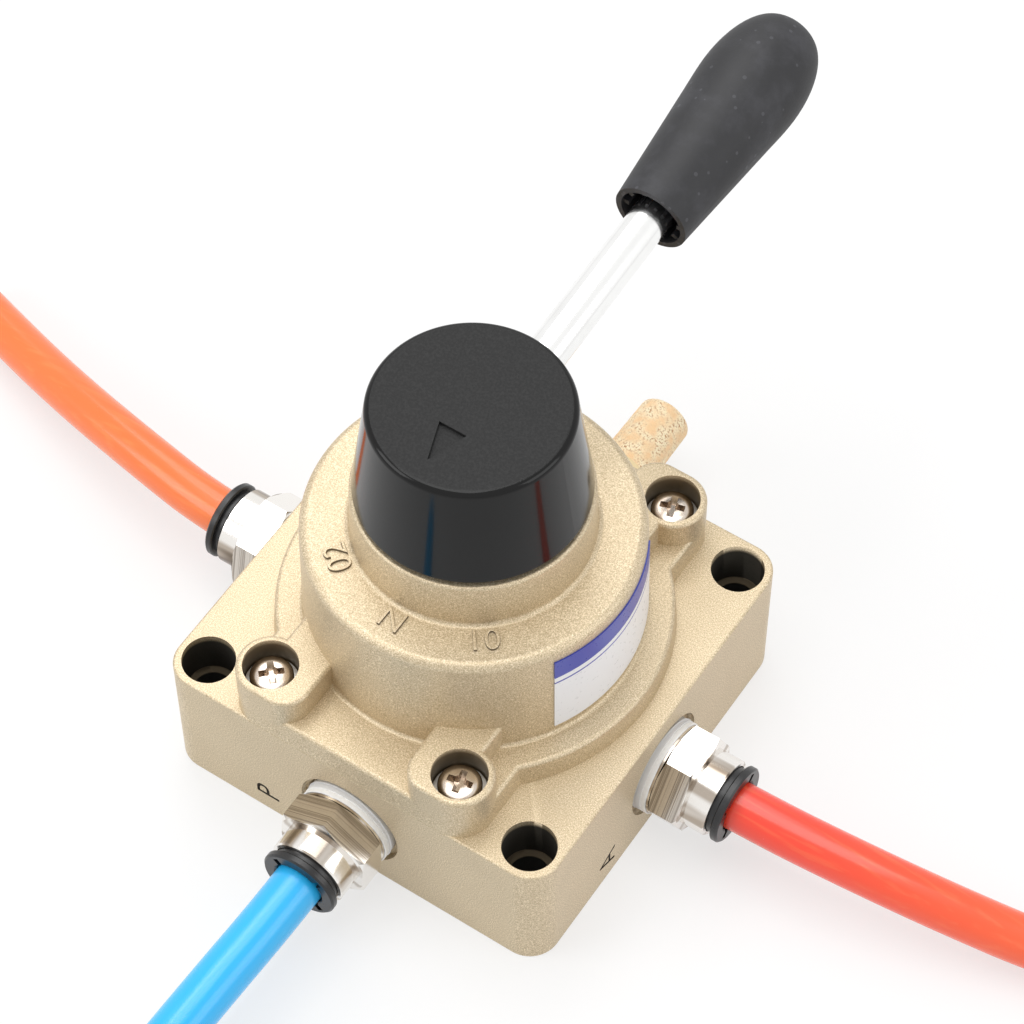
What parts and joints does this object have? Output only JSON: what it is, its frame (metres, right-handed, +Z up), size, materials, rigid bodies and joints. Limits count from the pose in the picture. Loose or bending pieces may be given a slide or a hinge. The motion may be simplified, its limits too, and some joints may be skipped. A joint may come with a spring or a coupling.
{
  "type": "hand lever air valve",
  "caption": "Square-bodied rotary hand valve for compressed air, with a tilted side lever on a round knob, push-in tube fittings on its sides and a sintered exhaust muffler.",
  "frame": {"origin": "centre of the base's underside, on the spindle's axis", "axes": "+Z up the spindle; supply port P faces -Y, outlets A and B face +X and -X, exhaust port R faces +Y and the lever points over it at rest"},
  "size_m": [0.234, 0.1757, 0.0834],
  "materials": {
    "body_paint": "fine metallic champagne paint on die-cast aluminium",
    "zinc_steel": "bright zinc-plated steel",
    "polished_steel": "polished steel",
    "nickel": "nickel-plated brass",
    "brass": "machined brass",
    "sintered_bronze": "open-pored sintered bronze",
    "black_plastic": "moulded black plastic, finely grained top",
    "collet_plastic": "moulded black plastic",
    "seat_plastic": "hard white plastic",
    "grip_rubber": "black rubber",
    "seal_rubber": "black rubber",
    "thread_sealant": "white thread sealant",
    "label_film": "printed film",
    "blue_tube": "polyurethane tube",
    "orange_tube": "polyurethane tube"
  },
  "bodies": {
    "valve": {"base_body": "body_paint", "cover": "body_paint", "port_plate": "seat_plastic", "body_gasket": "seal_rubber", "spindle_bush": "brass", "thrust_washer": "zinc_steel", "muffler_base": "brass", "muffler_element": "sintered_bronze", "label_plate": "label_film", "detent_ball_1": "polished_steel", "detent_spring_1": "zinc_steel", "detent_ball_2": "polished_steel", "detent_spring_2": "zinc_steel", "cover_screw_1": "zinc_steel", "spring_washer_1": "zinc_steel", "flat_washer_1": "zinc_steel", "cover_screw_2": "zinc_steel", "spring_washer_2": "zinc_steel", "flat_washer_2": "zinc_steel", "cover_screw_3": "zinc_steel", "spring_washer_3": "zinc_steel", "flat_washer_3": "zinc_steel", "cover_screw_4": "zinc_steel", "spring_washer_4": "zinc_steel", "flat_washer_4": "zinc_steel", "fitting_p": "nickel", "fitting_seal_p": "thread_sealant", "tube_oring_p": "seal_rubber", "claw_ring_p": "polished_steel", "air_tube_p": "blue_tube", "fitting_a": "nickel", "fitting_seal_a": "thread_sealant", "tube_oring_a": "seal_rubber", "claw_ring_a": "polished_steel", "air_tube_a": "orange_tube", "fitting_b": "nickel", "fitting_seal_b": "thread_sealant", "tube_oring_b": "seal_rubber", "claw_ring_b": "polished_steel", "air_tube_b": "orange_tube"},
    "lever": {"rotor": "seat_plastic", "drive_pin": "zinc_steel", "spindle": "zinc_steel", "spindle_oring": "seal_rubber", "disc_spring_1": "zinc_steel", "disc_spring_2": "zinc_steel", "index_ring": "zinc_steel", "knob": "black_plastic", "lever_rod": "polished_steel", "lever_grip": "grip_rubber"},
    "collet_p": {"collet_p": "collet_plastic"},
    "collet_a": {"collet_a": "collet_plastic"},
    "collet_b": {"collet_b": "collet_plastic"}
  },
  "joints": [
    {"name": "lever_turn", "type": "hinge", "parent": "valve", "child": "lever", "pos_m": [0, 0, 0.0509], "axis": [0, 0, 1], "range_deg": [-38, 38]},
    {"name": "collet_p_press", "type": "slide", "parent": "valve", "child": "collet_p", "axis": [0, 1, 0], "range_m": [0, 0.001], "stiffness_N_per_m": 300},
    {"name": "collet_a_press", "type": "slide", "parent": "valve", "child": "collet_a", "axis": [-1, 0, 0], "range_m": [0, 0.001], "stiffness_N_per_m": 300},
    {"name": "collet_b_press", "type": "slide", "parent": "valve", "child": "collet_b", "axis": [1, 0, 0], "range_m": [0, 0.001], "stiffness_N_per_m": 300}
  ]
}
